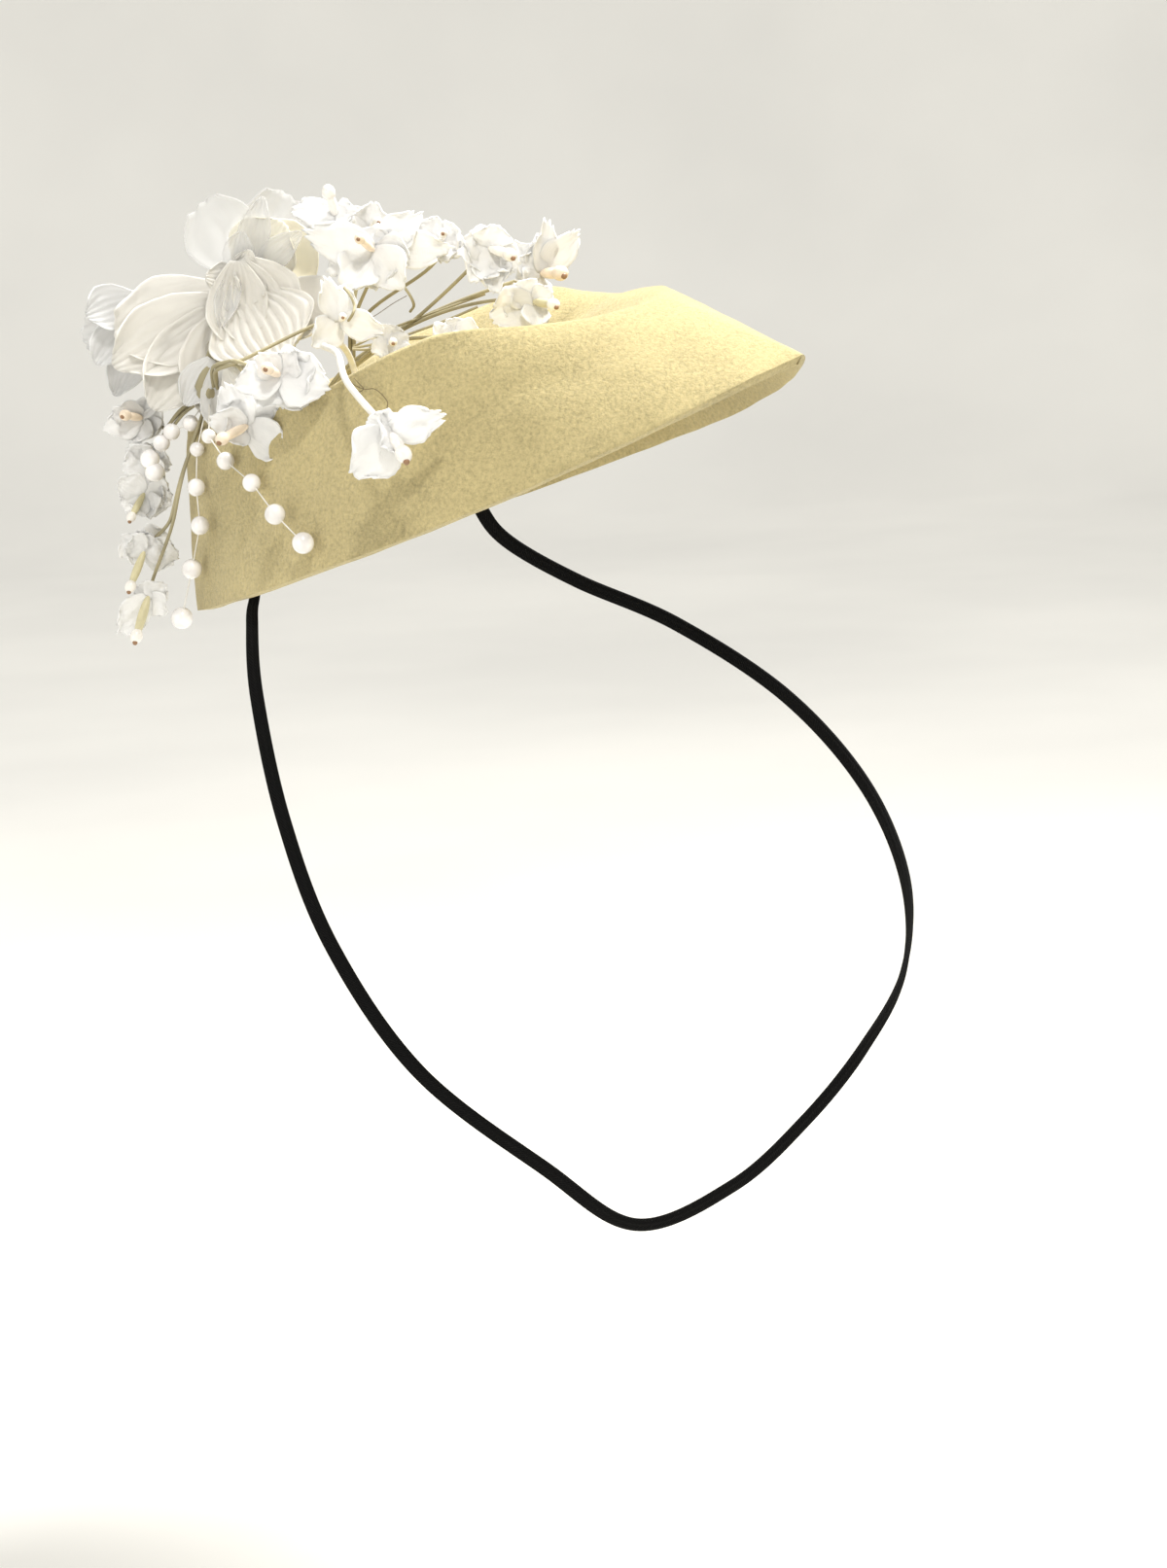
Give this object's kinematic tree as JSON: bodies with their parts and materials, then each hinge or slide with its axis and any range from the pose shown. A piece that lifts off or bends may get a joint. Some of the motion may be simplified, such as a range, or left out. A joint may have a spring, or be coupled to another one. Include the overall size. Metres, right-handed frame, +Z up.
{
  "type": "percher fascinator hat",
  "caption": "Small teardrop felt hat with a dented top, trimmed at the front with cloth flowers and pearl strings, held by a black elastic loop.",
  "frame": {"origin": "centre of the rim opening, where the hat sits on the head", "axes": "+Z up as worn, -Y the low flowered front, +Y the raised back tip, +X the wearer's left; the rim plane rises 17.2 degrees to the back and leans 5.3 degrees down to +X"},
  "size_m": [0.1678, 0.1921, 0.2501],
  "materials": {
    "felt": "brushed wool felt",
    "petal_cloth": "pleated satin",
    "sheer_cloth": "sheer organza",
    "blossom_cloth": "woven cotton",
    "white_stem": "matte wrapped",
    "wrapped_wire": "matte paper wrap",
    "pearl": "pearl lustre",
    "elastic": "flat braid"
  },
  "bodies": {
    "root": {"bloom_back": "petal_cloth", "bloom_fan": "petal_cloth", "bloom_far_high": "petal_cloth", "bloom_far_low": "petal_cloth", "bloom_left": "petal_cloth", "bloom_lower": "petal_cloth", "bloom_outer": "sheer_cloth", "bloom_sheer_left": "sheer_cloth", "bloom_sheer_top": "sheer_cloth", "bloom_side": "petal_cloth", "bloom_stalk": "wrapped_wire", "blossom_bud_side": "blossom_cloth", "blossom_corner": "blossom_cloth", "blossom_hanging": "blossom_cloth", "blossom_inner_first": "blossom_cloth", "blossom_inner_second": "blossom_cloth", "blossom_left_fork": "blossom_cloth", "blossom_left_high": "blossom_cloth", "blossom_left_low": "blossom_cloth", "blossom_left_mid": "blossom_cloth", "blossom_left_tip": "blossom_cloth", "blossom_mid_first": "blossom_cloth", "blossom_mid_second": "blossom_cloth", "blossom_rear_lower": "blossom_cloth", "blossom_rear_upper": "blossom_cloth", "blossom_ridge_front": "blossom_cloth", "blossom_top_back": "blossom_cloth", "blossom_top_large": "blossom_cloth", "blossom_top_small": "blossom_cloth", "elastic_cord": "elastic", "felt_body": "felt", "pearl_strand_left": "pearl", "pearl_strand_middle": "pearl", "pearl_strand_right": "pearl", "spray_drop": "wrapped_wire", "spray_left": "wrapped_wire", "spray_rear": "wrapped_wire", "spray_side": "wrapped_wire", "spray_top": "wrapped_wire", "spray_white_stem": "white_stem"}
  },
  "joints": []
}
